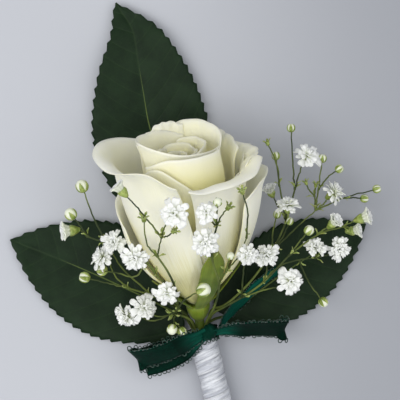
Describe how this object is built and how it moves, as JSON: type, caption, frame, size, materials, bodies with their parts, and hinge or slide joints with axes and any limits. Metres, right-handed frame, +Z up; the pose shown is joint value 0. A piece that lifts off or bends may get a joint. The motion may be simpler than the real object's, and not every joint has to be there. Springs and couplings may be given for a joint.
{
  "type": "boutonniere",
  "caption": "White rose boutonniere with serrated leaves and baby's breath, stems bound in satin tape and tied with a dark green ribbon bow.",
  "frame": {"origin": "on the surface that it lies on, under the middle of its outline", "axes": "+Y from the cut stems towards the tip of the top leaf, +Z up off the surface, +X to the right seen from above"},
  "size_m": [0.109, 0.1406, 0.0535],
  "materials": {
    "petal": "soft matte petal",
    "stem": "smooth green stem",
    "leaf": "waxy leaf",
    "babys_breath": "matte floret",
    "satin_tape": "satin",
    "ribbon": "satin"
  },
  "bodies": {
    "root": {"rose_petals": "petal", "rose_sepals_and_stem": "stem", "leaf_top": "leaf", "leaf_left": "leaf", "leaf_right": "leaf", "babys_breath_left": "babys_breath", "babys_breath_far_left": "babys_breath", "babys_breath_low": "babys_breath", "babys_breath_front": "babys_breath", "babys_breath_right": "babys_breath", "babys_breath_far_right": "babys_breath", "stem_wrap": "satin_tape", "ribbon_bow": "ribbon"}
  },
  "joints": []
}
